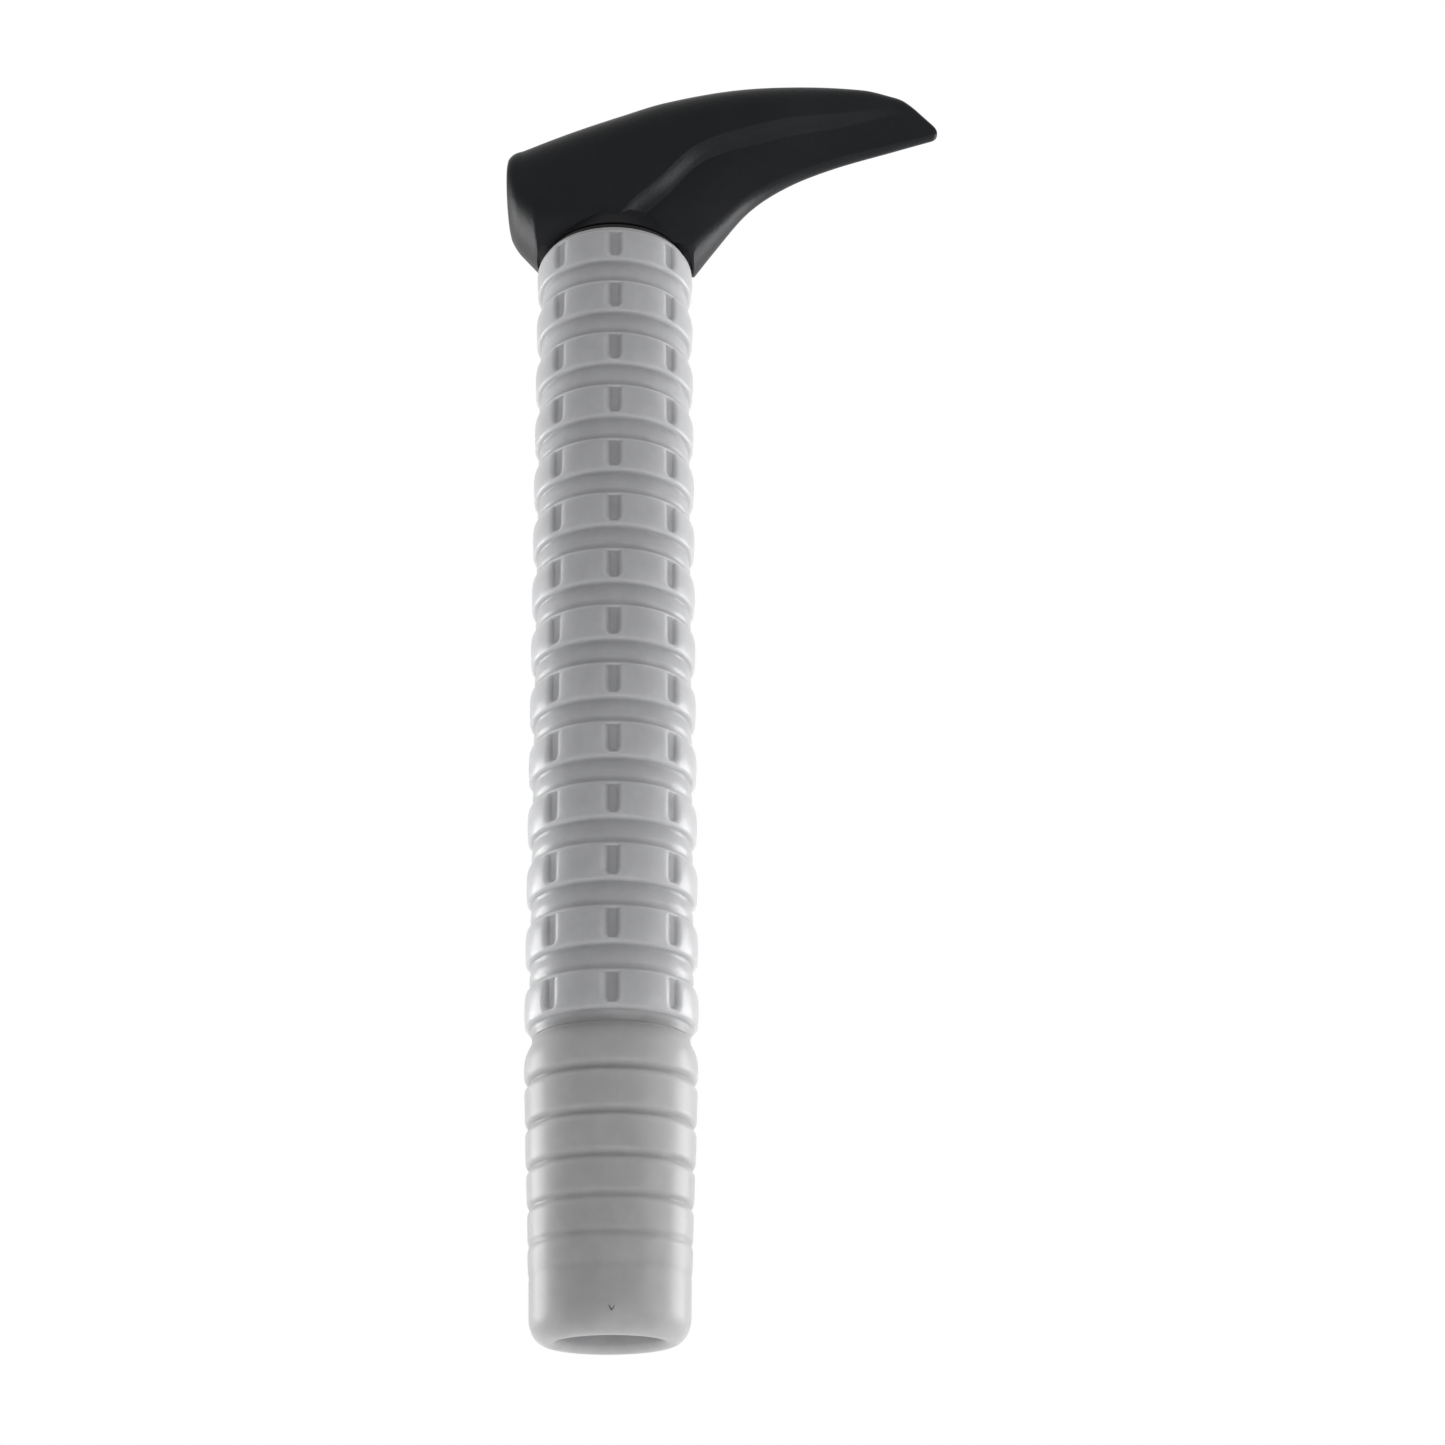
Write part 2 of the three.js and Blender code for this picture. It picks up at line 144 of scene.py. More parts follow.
# %% The Wire class
class Wire:
    def __init__(self, tree, socket=None):
        self.tree = tree
        self.socket = socket

    def node(self, kind, settings=None, sockets=None, output=0):
        made = self.tree.nodes.new(kind)
        for name, value in (settings or {}).items():
            setattr(made, name, value)
        for name, value in (sockets or {}).items():
            if isinstance(value, Wire):
                self.tree.links.new(value.socket, made.inputs[name])
            else:
                made.inputs[name].default_value = value
        return Wire(self.tree, made.outputs[output])

    def math(self, operation, first, second=0.0):
        return self.node("ShaderNodeMath", {"operation": operation}, {0: first, 1: second})

    def __add__(self, other):
        return self.math("ADD", self, other)

    __radd__ = __add__

    def __mul__(self, other):
        return self.math("MULTIPLY", self, other)

    __rmul__ = __mul__

    def __sub__(self, other):
        return self.math("SUBTRACT", self, other)

    def __rsub__(self, other):
        return self.math("SUBTRACT", other, self)

    def mix(self, low, high):
        """The colour low where this wire is 0, and high where it is 1."""
        pick = {"data_type": "RGBA"}
        made = self.node("ShaderNodeMix", pick, {"Factor": self}, output=2)
        for index, colour in ((6, low), (7, high)):
            made.socket.node.inputs[index].default_value = (*colour, 1.0)
        return made


def new_material(name, constants):
    """A Principled material with its constant sockets set, and a wire to start its formulas."""
    material = bpy.data.materials.new(name)
    material.use_nodes = True
    shader = material.node_tree.nodes["Principled BSDF"]
    for socket, value in constants.items():
        shader.inputs[socket].default_value = value
    return material, shader, Wire(material.node_tree)


def feed(wire, shader, socket):
    wire.tree.links.new(wire.socket, shader.inputs[socket])


def noise(start, place, scale, detail=4.0, roughness=0.55):
    sockets = {"Vector": place, "Scale": scale, "Detail": detail, "Roughness": roughness}
    return start.node("ShaderNodeTexNoise", None, sockets, output=0)


def spread(start, value, low, high):
    """Stretches value so that low becomes 0 and high becomes 1, with the rest cut off."""
    sockets = {0: value, 1: low, 2: high, 3: 0.0, 4: 1.0}
    return start.node("ShaderNodeMapRange", {"clamp": True}, sockets)


def bump(start, height, strength, distance):
    sockets = {"Height": height, "Strength": strength, "Distance": distance}
    return start.node("ShaderNodeBump", None, sockets)


print("shader helpers ready")


# %% [markdown]
# ## Black coated steel
# The head is a smooth casting under a satin black coat. The coat has an even fine grain, like
# the skin of an eggshell, and its gloss drifts a little where hands have polished it. A grain in
# the bump and a slow noise in the roughness give both without changing the colour much.

# %% Head coating
def black_coating():
    constants = {"IOR": 1.5, "Specular IOR Level": 0.22}
    material, shader, start = new_material("black_coated_steel", constants)
    place = start.node("ShaderNodeTexCoord", output=3)
    grain = noise(start, place, 1300.0, 4.0)
    handling = noise(start, place, 38.0, 5.0)
    polish = spread(start, handling, 0.35, 0.7)
    feed(polish.mix((0.011, 0.012, 0.014), (0.019, 0.020, 0.023)), shader, "Base Color")
    feed(0.36 + 0.09 * polish + 0.05 * grain, shader, "Roughness")
    feed(bump(start, grain + 0.6 * handling, 0.35, 0.00020), shader, "Normal")
    return material


# %% [markdown]
# ## Frosted elastomer and frosted plastic
# The grip is a clouded, see-through elastomer: light enters it, scatters, and leaves beside the
# place where it went in. Real transmission would show every hidden face behind it, so here the
# whole surface scatters light under itself, and a sheen and a thin coat lift its edges. The mesh
# stores a painted light for each point, which lightens the colour: a painted highlight on sharp
# edges, painted shade in creases and pockets. A slow cloudiness in the colour and fine scuffs in
# the roughness keep it from looking like plain paint.

# %% Grip and pommel materials
def frosted(name, pale, dark, radii, roughness, sheen, coat):
    """Clouded plastic whose wall is thin at the first of two radii in mm and thick at the second."""
    constants = {
        "IOR": 1.42,
        "Subsurface Weight": 1.0,
        "Subsurface Radius": (1.0, 1.0, 1.0),
        "Subsurface Scale": 0.010,
        "Sheen Weight": sheen,
        "Sheen Roughness": 0.45,
        "Coat Weight": coat,
        "Coat Roughness": 0.24,
    }
    material, shader, start = new_material(name, constants)
    place = start.node("ShaderNodeTexCoord", output=3)
    flat = start.node("ShaderNodeVectorMath", {"operation": "MULTIPLY"}, {0: place, 1: (1.0, 1.0, 0.0)})
    radius = start.node("ShaderNodeVectorMath", {"operation": "LENGTH"}, {0: flat}, output=1)
    thickness = spread(start, radius, radii[0] * MM, radii[1] * MM)
    # painted light from the mesh: painted highlights on sharp edges, painted shade in creases and pockets;
    # it sets most of the base colour
    painted_light = start.node("ShaderNodeAttribute", {"attribute_name": "painted_light"}, output=2)
    cloud = spread(start, noise(start, place, 55.0, 5.0), 0.3, 0.7)
    frosting = noise(start, place, 1500.0, 3.0)
    worn = spread(start, noise(start, place, 240.0, 6.0, 0.7), 0.45, 0.72)
    lightness = 0.7 * painted_light + 0.1 * thickness + 0.1 * cloud + 0.1 * worn
    feed(lightness.mix(dark, pale), shader, "Base Color")
    feed(roughness + 0.12 * worn + 0.06 * frosting, shader, "Roughness")
    feed(bump(start, frosting + 0.5 * worn, 0.25, 0.00010), shader, "Normal")
    return material


# %% [markdown]
# ## Metals, rubber and moulded plastic
# The fittings inside are turned, drawn or ground. Their tool marks run round the handle, so the
# marks are rings over height, which a stretched noise makes: its pattern is fine along Z and
# nearly constant across the piece.

# %% Inner materials
def worked_metal(name, colour, darker, roughness, mark_scale):
    material, shader, start = new_material(name, {"Metallic": 1.0})
    place = start.node("ShaderNodeTexCoord", output=3)
    stretch = {"Vector": place, "Scale": (40.0, 40.0, mark_scale)}
    rings = noise(start, start.node("ShaderNodeMapping", None, stretch), 1.0, 3.0)
    stain = spread(start, noise(start, place, 90.0, 4.0), 0.35, 0.75)
    feed(stain.mix(darker, colour), shader, "Base Color")
    feed(roughness + 0.18 * rings, shader, "Roughness")
    feed(bump(start, rings, 0.3, 0.00004), shader, "Normal")
    return material


def dull_moulding(name, colour, paler, roughness, grain_scale):
    material, shader, start = new_material(name, {"IOR": 1.5})
    place = start.node("ShaderNodeTexCoord", output=3)
    grain = noise(start, place, grain_scale, 4.0)
    dust = spread(start, noise(start, place, 120.0, 5.0), 0.5, 0.8)
    feed(dust.mix(colour, paler), shader, "Base Color")
    feed(roughness + 0.12 * grain, shader, "Roughness")
    feed(bump(start, grain, 0.3, 0.0001), shader, "Normal")
    return material


MATERIALS = {
    "black_coated_steel": black_coating(),
    "frosted_grip": frosted(
        "frosted_grip", (0.73, 0.735, 0.755), (0.30, 0.302, 0.315), (15.7, 16.9), 0.42, sheen=0.8, coat=0.5
    ),
    "frosted_pommel": frosted(
        "frosted_pommel", (0.69, 0.69, 0.70), (0.27, 0.27, 0.275), (14.6, 16.4), 0.45, sheen=0.45, coat=0.25
    ),
    "tube_aluminium": worked_metal("tube_aluminium", (0.42, 0.43, 0.45), (0.32, 0.33, 0.35), 0.4, 900.0),
    "bush_aluminium": worked_metal("bush_aluminium", (0.55, 0.56, 0.58), (0.42, 0.43, 0.45), 0.28, 2200.0),
    "pin_steel": worked_metal("pin_steel", (0.45, 0.46, 0.47), (0.33, 0.33, 0.34), 0.22, 1500.0),
    "insert_brass": worked_metal("insert_brass", (0.62, 0.44, 0.19), (0.45, 0.31, 0.13), 0.28, 2200.0),
    "black_rubber": dull_moulding("black_rubber", (0.018, 0.018, 0.018), (0.05, 0.05, 0.05), 0.7, 1800.0),
    "grey_plastic": dull_moulding("grey_plastic", (0.30, 0.30, 0.30), (0.38, 0.38, 0.38), 0.5, 1400.0),
}
print("materials:", ", ".join(MATERIALS))

# %% [markdown]
# ## The floor
# The tool is held in the air, so a plain pale floor lies well below it and below the camera.

# %% Floor
FLOOR_HEIGHT = -0.45
FLOOR_SIZE = 0.8
floor_mesh = bmesh.new()
bmesh.ops.create_grid(floor_mesh, x_segments=1, y_segments=1, size=FLOOR_SIZE)
bmesh.ops.translate(floor_mesh, verts=floor_mesh.verts, vec=(0.0, 0.0, FLOOR_HEIGHT))
floor = bpy.data.objects.new("floor", bpy.data.meshes.new("floor"))
floor_mesh.to_mesh(floor.data)
floor_mesh.free()
floor.data.materials.append(dull_moulding("pale_floor", (0.8, 0.8, 0.8), (0.83, 0.83, 0.82), 0.6, 60.0))
bpy.context.collection.objects.link(floor)
print("floor at", FLOOR_HEIGHT)


# %% [markdown]
# ## Helpers for shapes
# Outlines are given as a few points with a smooth curve through them. A turned piece is an outline
# spun round the handle's axis; a wall's outline closes on itself, so the spin makes a closed skin.

# %% Curves and spinning
def curve_through(points):
    """A smooth height-over-x curve through points, flat-ended outside them."""
    xs = [point[0] for point in points]
    ys = [point[1] for point in points]
    slopes = []
    for index in range(len(xs)):
        before, after = max(index - 1, 0), min(index + 1, len(xs) - 1)
        slopes.append((ys[after] - ys[before]) / (xs[after] - xs[before]))

    def height(x):
        if x <= xs[0]:
            return ys[0]
        if x >= xs[-1]:
            return ys[-1]
        span = max(index for index in range(len(xs) - 1) if xs[index] <= x)
        width = xs[span + 1] - xs[span]
        t = (x - xs[span]) / width
        start = (1 + 2 * t) * (1 - t) ** 2 * ys[span] + t * (1 - t) ** 2 * width * slopes[span]
        end = t * t * (3 - 2 * t) * ys[span + 1] + t * t * (t - 1) * width * slopes[span + 1]
        return start + end

    return height


def clamp(value, low=0.0, high=1.0):
    return max(low, min(high, value))


def ease(value, low, high):
    """0 below low and 1 above high, with a smooth step between."""
    t = clamp((value - low) / (high - low))
    return t * t * (3 - 2 * t)


def blend(low, high, share):
    return low + (high - low) * share


def round_over(depth):
    """A quarter circle: 0 at an edge, 1 at one rounding height inside it."""
    return math.sqrt(1 - (1 - clamp(depth)) ** 2)


def spun(outline, steps):
    """A closed skin: the closed outline of (radius, height) points in mm, turned round Z."""
    skin = bmesh.new()
    verts = [skin.verts.new((radius * MM, 0.0, height * MM)) for radius, height in outline]
    edges = [skin.edges.new((verts[index - 1], verts[index])) for index in range(len(verts))]
    bmesh.ops.spin(
        skin, geom=verts + edges, cent=(0, 0, 0), axis=(0, 0, 1), angle=math.tau, steps=steps, use_merge=True
    )
    bmesh.ops.remove_doubles(skin, verts=skin.verts, dist=1e-7)
    bmesh.ops.recalc_face_normals(skin, faces=skin.faces)
    return skin


# painted light in the grip's and pommel's colour: a painted highlight grows with an edge's bend, with
# painted shade in creases and pockets
SHARPEST = 2400.0  # the bend, as one over a radius in metres, that counts as fully sharp
PLAIN_PAINTED_LIGHT = 0.45
DARKEST_CREASE_SHADE = -0.1
POCKET_SHADE = 0.24


def store_painted_light(skin):
    """Paints light into each point: highlights on sharp edges, shade in creases and pockets."""
    layer = skin.verts.layers.float.new("painted_light")
    pocket = skin.verts.layers.float.get("pocket")
    skin.normal_update()
    for vert in skin.verts:
        bends = [
            vert.normal.dot(vert.co - edge.other_vert(vert).co) / edge.calc_length() ** 2
            for edge in vert.link_edges
        ]
        edge_highlight = max(sum(bends) / len(bends) / SHARPEST, DARKEST_CREASE_SHADE)
        vert[layer] = clamp(PLAIN_PAINTED_LIGHT + edge_highlight - (POCKET_SHADE * vert[pocket] if pocket else 0.0))


def finished(skin, name, body, slot, replaced, sharp_degrees=40.0):
    """Turns a bmesh into a piece that rides on its body and stands for a CAD node."""
    mesh = bpy.data.meshes.new(name)
    skin.to_mesh(mesh)
    skin.free()
    for face in mesh.polygons:
        face.use_smooth = True
    mesh.set_sharp_from_angle(angle=math.radians(sharp_degrees))
    piece = bpy.data.objects.new(name, mesh)
    bpy.context.collection.objects.link(piece)
    mesh.materials.append(MATERIALS[slot])
    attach(piece, body)
    if replaced:
        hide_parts(*replaced)
    print(f"{name}: {len(mesh.polygons)} faces on {body}")
    return piece


def combined(base, tool, operation):
    """The Boolean union or difference of two closed skins, as a new one."""
    objects = []
    for skin in (base, tool):
        mesh = bpy.data.meshes.new("working")
        skin.to_mesh(mesh)
        skin.free()
        objects.append(bpy.data.objects.new("working", mesh))
        bpy.context.collection.objects.link(objects[-1])
    modifier = objects[0].modifiers.new("combine", "BOOLEAN")
    modifier.operation = operation
    modifier.solver = "EXACT"
    modifier.object = objects[1]
    result = bmesh.new()
    result.from_object(objects[0], bpy.context.evaluated_depsgraph_get())
    for working in objects:
        data = working.data
        bpy.data.objects.remove(working)
        bpy.data.meshes.remove(data)
    return result


def cylinder(radius, low, high, steps):
    """A closed upright cylinder, in mm."""
    skin = bmesh.new()
    size = radius * MM
    depth = (high - low) * MM
    bmesh.ops.create_cone(
        skin, cap_ends=True, segments=steps, radius1=size, radius2=size, depth=depth
    )
    bmesh.ops.translate(skin, verts=skin.verts, vec=(0, 0, (low + high) / 2 * MM))
    return skin


print("shape helpers ready")

# %% [markdown]
# ## The head
# The head is one casting. Seen from the side it has a blunt poll, a long arched back and a
# hollow underside that sweeps out to the pick. A thick rounded spine runs along the back, and a
# smooth ledge drops from it to the thinner web. It could be sculpted, but a few curves say it
# all: the back, the underside, the ledge, and how thick each part is. A grid is laid over the side
# view, its points are pushed out to half the head's thickness, and the other half is its mirror.

# %% Side view and thickness of the head, in mm
BACK = curve_through([
    (-23.4, 259.5), (-10, 265.3), (1.9, 269.9), (11.5, 273.4), (26.7, 276.9),
    (41.7, 278.1), (55.7, 277.8), (61.6, 276.4), (65.4, 274.8), (72.3, 268.0),
])
PICK_UNDERSIDE = curve_through([
    (17.3, 231.3), (22.1, 237.8), (29.5, 247.1), (37.9, 253.3), (48.3, 258), (62.5, 262.5), (72.3, 265.5),
])
LEDGE = curve_through([
    (-2.9, 230.1), (4.9, 240.7), (11, 247.1), (17.6, 254.8), (23.2, 258.6),
    (28.5, 260.9), (38.4, 264.5), (49.6, 267.2), (65.1, 271.7), (72.4, 272.9),
])
SPINE_HALF = curve_through([
    (-23.4, 11.6), (-9, 12.5), (6, 12.3), (26, 10), (41, 7.9), (55, 5), (65, 3), (72.3, 1.8),
])
WEB_HALF = curve_through([(-23.4, 8.4), (17, 8), (28, 6.5), (38, 5.3), (49, 4.3), (65, 2.7), (72.3, 1.7)])
EDGE_HALF = curve_through([(-23.4, 8), (10, 7.2), (18, 5.5), (26, 3.2), (38, 1.9), (65, 1.3), (72.3, 1.2)])
POLL_BOTTOM = 241.4  # height of the poll's lower corner
POLL_CORNER = (-16.9, 233.7)  # where the poll's slanted underside meets the handle
TOE = (17.3, 231.3)  # the web's lowest point, beside the grip
LEDGE_HALF_WIDTH = 1.4
POLL_ROUNDING = 2.4
TIP_ROUNDING = 1.3
POLL_INSET = 1.9
TIP_INSET = 0.8
KEEL_ROUNDING = 9.0  # how high the poll's lower edges round over
KEEL_REACH = 3.0  # how far past the ledge the underside changes from web to poll
EDGE_ROUNDING = 0.7  # the web's lower edge rounds over this share of its half thickness


def underside(x):
    if x < POLL_CORNER[0]:
        share = (x - POLL_FACE / MM) / (POLL_CORNER[0] - POLL_FACE / MM)
        return blend(POLL_BOTTOM, POLL_CORNER[1], share)
    if x < TOE[0]:
        return blend(POLL_CORNER[1], TOE[1], (x - POLL_CORNER[0]) / (TOE[0] - POLL_CORNER[0]))
    return PICK_UNDERSIDE(x)


def half_thickness(x, z, bottom, top):
    slope = LEDGE(x + 0.5) - LEDGE(x - 0.5)
    above_ledge = (z - LEDGE(x)) / math.hypot(1, slope)
    spine_share = ease(above_ledge, -LEDGE_HALF_WIDTH, LEDGE_HALF_WIDTH)
    up_the_web = clamp((z - bottom) / max(LEDGE(x) - bottom, 1.0))
    web = blend(EDGE_HALF(x), WEB_HALF(x), up_the_web)
    half = blend(web, SPINE_HALF(x), spine_share)
    crown = min(SPINE_HALF(x), (top - bottom) / 2)
    keel_share = ease(bottom - LEDGE(x), -KEEL_REACH, KEEL_REACH)
    keel = min(blend(EDGE_HALF(x) * EDGE_ROUNDING, KEEL_ROUNDING, keel_share), (top - bottom) / 2)
    return half * round_over((top - z) / crown) * round_over((z - bottom) / keel)


def head_point(along, up):
    """The head's front surface at a share of its length and of its height there."""
    x = blend(POLL_FACE / MM, PICK_TIP / MM, along)
    poll_inset = POLL_INSET * (1 - round_over((x - POLL_FACE / MM) / POLL_ROUNDING))
    inset = poll_inset + TIP_INSET * (1 - round_over((PICK_TIP / MM - x) / TIP_ROUNDING))
    top, bottom = BACK(x) - inset, underside(x) + inset
    z = blend(bottom, top, up)
    half = half_thickness(x, z, bottom, top) * (1 - inset / SPINE_HALF(x))
    return Vector((x, -half, z)) * MM


# %% Head skin
STATIONS = 200
RISES = 96


def ends_denser(share):
    return (1 - math.cos(math.pi * share)) / 2


def rise_towards_ledge(x, share):
    """Spreads the grid's rows so that a third of them lies on the ledge, whatever its height."""
    bottom, top = underside(x), BACK(x)
    slope = LEDGE(x + 0.5) - LEDGE(x - 0.5)
    reach = 1.3 * LEDGE_HALF_WIDTH * math.hypot(1, slope) / (top - bottom)
    ledge = (LEDGE(x) - bottom) / (top - bottom)
    low = clamp(ledge - reach, 0.12, 0.7)
    high = clamp(ledge + reach, low + 0.12, 0.86)
    if share < 1 / 3:
        return low * (1 - math.cos(math.pi / 2 * 3 * share))
    if share < 2 / 3:
        return blend(low, high, 3 * share - 1)
    return blend(high, 1.0, math.sin(math.pi / 2 * (3 * share - 2)))


def head_skin():
    skin = bmesh.new()
    bmesh.ops.create_grid(skin, x_segments=STATIONS, y_segments=RISES, size=0.5)
    for vert in skin.verts:
        along = vert.co.x + 0.5
        along = blend(along, ends_denser(along), 0.6)
        x = blend(POLL_FACE / MM, PICK_TIP / MM, along)
        vert.co = head_point(along, rise_towards_ledge(x, vert.co.y + 0.5))
    everything = skin.verts[:] + skin.edges[:] + skin.faces[:]
    bmesh.ops.mirror(skin, geom=everything, matrix=Matrix.Identity(4), merge_dist=1e-7, axis="Y")
    bmesh.ops.remove_doubles(skin, verts=skin.verts, dist=1e-6)
    bmesh.ops.holes_fill(skin, edges=[edge for edge in skin.edges if edge.is_boundary], sides=0)
    bmesh.ops.dissolve_degenerate(skin, edges=skin.edges, dist=1e-7)
    bmesh.ops.recalc_face_normals(skin, faces=skin.faces)
    return skin


SEAT_HEIGHT = 234.7
SEAT_RADIUS = 17.1
TANG_RADIUS = 10.7
SEAT_CUT = 20.0  # how far below the seat everything is cut away
TANG_LOW = 190.0
TANG_HIGH = 243.0
FLARE = [(14.6, SEAT_HEIGHT), (14.2, 235.5), (12.6, 238), (12, 240), (6, 240), (6, SEAT_HEIGHT)]
PIN_HEIGHTS = (203.0, 221.0)
PIN_HOLE_RADIUS = 2.3
HOLE_REACH = 30


def cross_hole(radius, height):
    """A cutter for a pin hole that runs through the handle from front to back."""
    hole = cylinder(radius, -HOLE_REACH, HOLE_REACH, 32)
    bmesh.ops.rotate(hole, verts=hole.verts, matrix=Matrix.Rotation(math.pi / 2, 3, "X"))
    bmesh.ops.translate(hole, verts=hole.verts, vec=(0, 0, height * MM))
    return hole


head = combined(head_skin(), cylinder(SEAT_RADIUS, SEAT_HEIGHT - SEAT_CUT, SEAT_HEIGHT, 128), "DIFFERENCE")
head = combined(head, spun(FLARE, 96), "UNION")
head = combined(head, cylinder(TANG_RADIUS, TANG_LOW, TANG_HIGH, 96), "UNION")
for pin_height in PIN_HEIGHTS:
    head = combined(head, cross_hole(PIN_HOLE_RADIUS, pin_height), "DIFFERENCE")
finished(head, "head_casting", "tool", "black_coated_steel", ["head_body"], 32.0)

# %% [markdown]
# ## The grip
# The sleeve is moulded in rings. Each ring has a band of raised pads, and between two bands lies a
# lower strip with a small ridge. Eight pockets with round lower ends part the pads. The rings
# are turned from one outline that repeats up the handle, and then the pockets are pressed in by
# moving the skin's points inwards, which keeps their walls soft like the moulding's.

# %% Outline of one ring, in mm
ROW_COUNT = 14
ROW_PITCH = 12.65
FIRST_ROW = 59.5
ROW_OUTLINE = curve_through([
    (0, 15.85), (0.2, 16.35), (0.45, 16.62), (0.9, 16.76), (2.2, 16.93), (3.5, 16.96), (5.3, 16.92),
    (6.3, 16.8), (6.8, 16.68), (7.3, 16.48), (7.7, 16.1), (8.05, 15.78), (8.5, 15.74), (8.9, 15.83),
    (9.2, 15.93), (9.7, 15.97), (10.4, 15.94), (11.1, 15.8), (11.7, 15.72), (12.3, 15.71), (12.65, 15.85),
])
ROW_RISES = (  # where the skin has a ring of points: close together where the outline bends sharply
    0, 0.1, 0.2, 0.32, 0.45, 0.65, 0.9, 1.3, 1.9, 2.8, 3.8, 4.7, 5.5, 6.1, 6.6,
    7.0, 7.3, 7.55, 7.8, 8.05, 8.35, 8.7, 8.95, 9.2, 9.6, 10.1, 10.7, 11.3, 11.9, 12.4,
)
PAD_COUNT = 8
PAD_TURN = math.radians(3.0)  # the front pocket lies this far round from the front, towards the pick
POCKET = {"low": 0.95, "high": 7.2, "half_width": 1.41, "floor": 16.2, "wall": 0.6}
PAD_FOOT = 15.8  # only points outside this radius belong to the pads
GRIP_STEPS = 216
WAIST = 57.5  # height of the seam between grip and pommel
SEAM_HALF = 0.04
BORE_RADIUS = 12.8
STOP_RING_ROOM = (14.5, 59.4)  # radius and height of the space for the snap ring


def grip_outline():
    low, high = WAIST + SEAM_HALF, GRIP_HIGH / MM
    points = [(BORE_RADIUS, high - 0.4), (BORE_RADIUS, STOP_RING_ROOM[1])]
    points += [STOP_RING_ROOM, (STOP_RING_ROOM[0], low)]
    points += [(15.1, low), (15.2, low + 0.06), (15.27, low + 0.3), (15.45, low + 0.8), (15.74, low + 1.4)]
    for row in range(ROW_COUNT):
        for rise in ROW_RISES:
            height = FIRST_ROW + row * ROW_PITCH + rise
            if height < high - 0.5:
                points.append((ROW_OUTLINE(rise), height))
    points += [(15.7, high - 0.35), (15.4, high - 0.05), (15.1, high), (BORE_RADIUS + 0.4, high)]
    return points


def pocket_share(arc, rise):
    """1 on a pocket's floor, 0 on the pads, for a distance round the grip and a rise in its row."""
    if not POCKET["low"] < rise < POCKET["high"]:
        return 0.0
    half_width = POCKET["half_width"] * round_over((rise - POCKET["low"]) / POCKET["half_width"])
    return ease(half_width - abs(arc), -POCKET["wall"], POCKET["wall"])


def press_pockets(skin):
    pocket = skin.verts.layers.float.new("pocket")
    sector = math.tau / PAD_COUNT
    for vert in skin.verts:
        radius = vert.co.xy.length / MM
        if radius < PAD_FOOT:
            continue
        turn = math.atan2(vert.co.x, -vert.co.y) - PAD_TURN
        arc = radius * ((turn + sector / 2) % sector - sector / 2)
        rise = (vert.co.z / MM - FIRST_ROW) % ROW_PITCH
        share = pocket_share(arc, rise)
        vert[pocket] = share
        pressed = blend(radius, min(radius, POCKET["floor"]), share)
        vert.co.xy *= pressed / radius


def gather_columns(skin, strength=0.62):
    """Turns the points round the axis so that the columns crowd where the pocket walls are."""
    for vert in skin.verts:
        turn = math.atan2(vert.co.x, -vert.co.y) - PAD_TURN
        gathered = turn - strength / PAD_COUNT * math.sin(PAD_COUNT * turn) + PAD_TURN
        radius = vert.co.xy.length
        vert.co.x, vert.co.y = radius * math.sin(gathered), -radius * math.cos(gathered)


grip = spun(grip_outline(), GRIP_STEPS)
gather_columns(grip)
press_pockets(grip)
store_painted_light(grip)
finished(grip, "grip_rings", "tool", "frosted_grip", ["grip_sleeve"], 60.0)

# %% [markdown]
# ## The pommel
# The cap narrows towards its end and carries six soft grooves for the fingertips. Its outline is a
# slow taper minus a small dip at each groove, so it is written as exactly that.

# %% Pommel outline, in mm
POMMEL_TAPER = curve_through([
    (0, 15.0), (11, 15.19), (15.5, 15.43), (21.5, 15.57), (28.5, 15.87),
    (36.5, 16.22), (45, 16.49), (51.3, 16.72), (57.3, 16.72),
])
GROOVES = [  # height, depth, half width; the last is the lower half of the waist
    (12.1, 0.10, 0.8), (17.9, 0.28, 0.8), (24.7, 0.48, 0.75), (32.05, 0.66, 0.75),
    (40.05, 0.84, 0.75), (48.5, 0.98, 0.8), (57.3, 1.45, 2.6),
]
CORNER_HEIGHT = 5.0
FLAT_RADIUS = 11.7
RECESS_RADIUS = 9.9
RECESS_DEPTH = 12.3
LIP_RADIUS = 1.6
UPPER_BORE = (12.9, 41.3)  # radius, and height of its lower end
LOWER_BORE = (12.7, 27.7)
THROAT_RADIUS = 8.6  # the narrow way between the lower bore and the recess
WALL_STEPS = 210


def pommel_radius(height):
    dips = sum(depth * math.exp(-(((height - place) / width) ** 2)) for place, depth, width in GROOVES)
    return POMMEL_TAPER(height) - dips


def pommel_outline():
    top = WAIST - SEAM_HALF
    points = [(UPPER_BORE[0], top - 0.3), UPPER_BORE, (LOWER_BORE[0], UPPER_BORE[1]), LOWER_BORE]
    points += [(THROAT_RADIUS, LOWER_BORE[1]), (THROAT_RADIUS, RECESS_DEPTH), (RECESS_RADIUS, RECESS_DEPTH)]
    for step in range(9):
        turn = math.pi / 2 * step / 8
        points.append((RECESS_RADIUS + LIP_RADIUS * (1 - math.cos(turn)), LIP_RADIUS * (1 - math.sin(turn))))
    corner_width = pommel_radius(CORNER_HEIGHT) - FLAT_RADIUS
    for step in range(13):
        turn = math.pi / 2 * step / 12
        points.append((FLAT_RADIUS + corner_width * math.sin(turn), CORNER_HEIGHT * (1 - math.cos(turn))))
    for step in range(1, WALL_STEPS):
        height = blend(CORNER_HEIGHT, top, step / WALL_STEPS)
        points.append((pommel_radius(height), height))
    points += [(pommel_radius(top) - 0.06, top - 0.06), (pommel_radius(top) - 0.15, top), (13.3, top)]
    return points


pommel = spun(pommel_outline(), 144)
store_painted_light(pommel)
finished(pommel, "pommel_shell", "pommel", "frosted_pommel", ["pommel_cap"], 60.0)

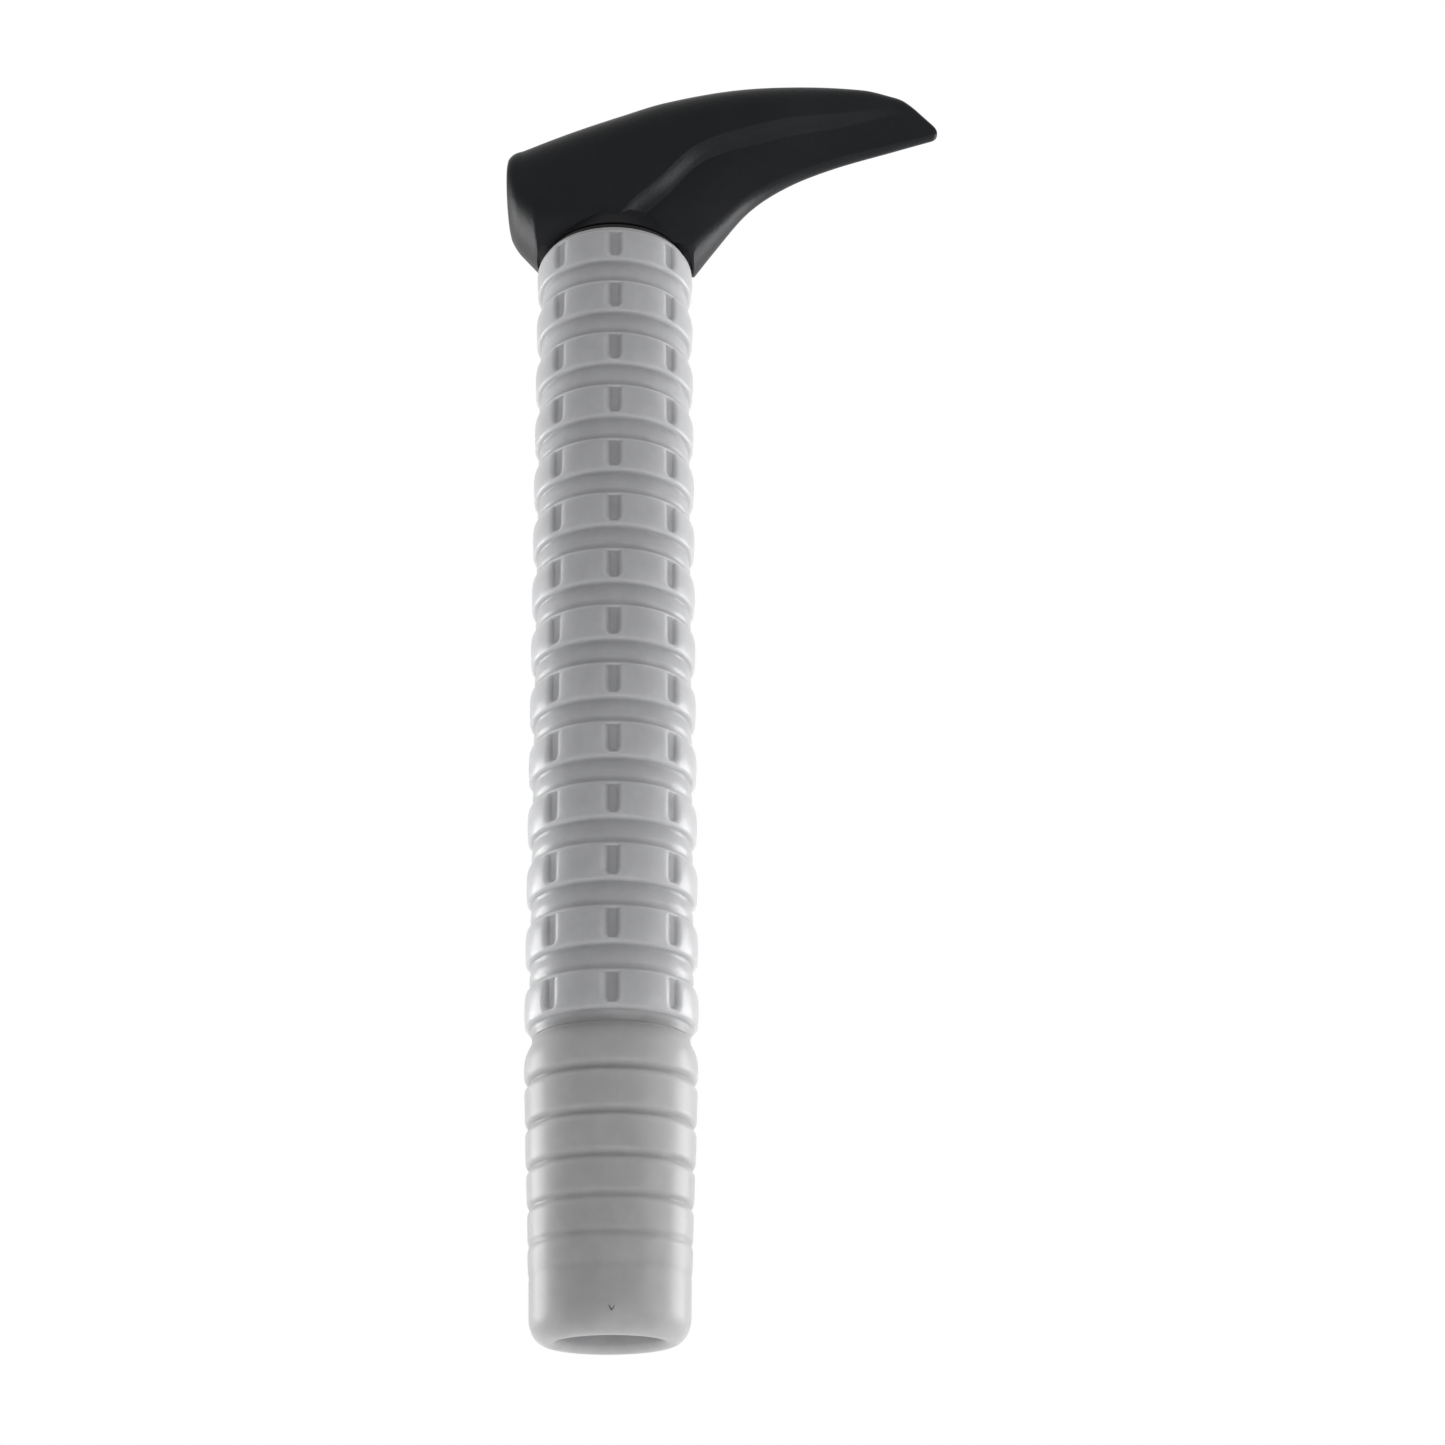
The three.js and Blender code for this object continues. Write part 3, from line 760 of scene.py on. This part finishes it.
# %% [markdown]
# ## The turn mark
# A tiny raised arrowhead stands near the pommel's end; what it is for is a guess. Two short ribs
# meet in a point, and each is a small block, turned and pushed just into the wall.

# %% Arrowhead ribs
MARK_HEIGHT = 4.3
MARK_TURN = math.radians(3.7)  # how far round from the front
RIB = Vector((0.18, 0.36, 1.05)) * MM  # width, depth and length of one rib
RIB_LEAN = math.radians(30)
RIB_SINK = 0.12  # how deep the ribs' middle lies in the wall, in mm
MARK_DROP = 0.5  # how far the ribs' meeting point lies below the mark's height


def turn_mark():
    mark = bmesh.new()
    for side in (-1, 1):
        rib = bmesh.ops.create_cube(mark, size=1.0)["verts"]
        bmesh.ops.scale(mark, verts=rib, vec=RIB)
        bmesh.ops.translate(mark, verts=rib, vec=(0, 0, RIB.z / 2))
        bmesh.ops.rotate(mark, verts=rib, matrix=Matrix.Rotation(side * RIB_LEAN, 3, "Y"))
    corner_width = pommel_radius(CORNER_HEIGHT) - FLAT_RADIUS
    wall = FLAT_RADIUS + corner_width * round_over(MARK_HEIGHT / CORNER_HEIGHT)
    place = Vector((0, -(wall - RIB_SINK), MARK_HEIGHT - MARK_DROP)) * MM
    bmesh.ops.translate(mark, verts=mark.verts, vec=place)
    bmesh.ops.rotate(mark, verts=mark.verts, matrix=Matrix.Rotation(MARK_TURN, 3, "Z"))
    bmesh.ops.bevel(
        mark, geom=mark.edges, offset=0.05 * MM, segments=2, profile=0.5, affect="EDGES", material=-1
    )
    bmesh.ops.recalc_face_normals(mark, faces=mark.faces)
    # the whole mark is painted at full light, so its colour is the pale end
    painted_light = mark.verts.layers.float.new("painted_light")
    for vert in mark.verts:
        vert[painted_light] = 1.0
    return mark


finished(turn_mark(), "turn_mark", "pommel", "frosted_pommel", [], 30.0)

# %% [markdown]
# ## Small parts
# The gasket, the tube and the plug are turned too. The tube gets the snap ring's groove and the
# three pin holes, which show when the pommel is off.

# %% Gasket, tube and end plug
GASKET_LOW, GASKET_HIGH = (corner[2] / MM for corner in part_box("neck_gasket"))
gasket_outline = [
    (12.8, GASKET_LOW), (14.3, GASKET_LOW), (14.6, GASKET_LOW + 0.3),
    (14.6, GASKET_HIGH - 0.3), (14.3, GASKET_HIGH), (12.8, GASKET_HIGH),
]
finished(spun(gasket_outline, 96), "neck_seal_ring", "tool", "black_rubber", ["neck_gasket"])

TUBE_LOW, TUBE_HIGH = (corner[2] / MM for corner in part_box("core_tube"))
RING_GROOVE = (57.6, 59.4)  # lower and upper height of the snap ring's groove
BUSH_PIN_HOLE = (1.8, 65.0)  # radius and height
tube_outline = [
    (11.3, TUBE_LOW), (12.2, TUBE_LOW), (12.5, TUBE_LOW + 0.3),
    (12.5, RING_GROOVE[0]), (12.0, RING_GROOVE[0]), (12.0, RING_GROOVE[1]), (12.5, RING_GROOVE[1]),
    (12.5, TUBE_HIGH - 0.3), (12.2, TUBE_HIGH), (11.3, TUBE_HIGH),
    (11.0, TUBE_HIGH - 0.3), (11.0, TUBE_LOW + 0.3),
]
tube = spun(tube_outline, 128)
for pin_height in PIN_HEIGHTS:
    tube = combined(tube, cross_hole(PIN_HOLE_RADIUS, pin_height), "DIFFERENCE")
tube = combined(tube, cross_hole(*BUSH_PIN_HOLE), "DIFFERENCE")
finished(tube, "handle_tube", "tool", "tube_aluminium", ["core_tube"], 30.0)

plug_outline = [
    (0.01, 10.0), (7.7, 10.0), (8.0, 9.7), (8.1, 9.3), (8.4, 9.0),
    (9.3, 9.0), (9.6, 9.3), (9.6, 12.0), (0.01, 12.0),
]
finished(spun(plug_outline, 96), "recess_plug", "pommel", "grey_plastic", ["end_plug"])

# %% Finishes for the pieces that keep their CAD shape
KEPT_NODES = {
    "tang_pin_lower": "pin_steel",
    "tang_pin_upper": "pin_steel",
    "bush_pin": "pin_steel",
    "sleeve_stop_ring": "pin_steel",
    "end_bush": "bush_aluminium",
    "pommel_insert": "insert_brass",
    "pommel_seal": "black_rubber",
}
for node, slot_name in KEPT_NODES.items():
    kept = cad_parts[node]
    kept.data.materials.clear()
    kept.data.materials.append(MATERIALS[slot_name])
print("kept nodes:", ", ".join(KEPT_NODES))
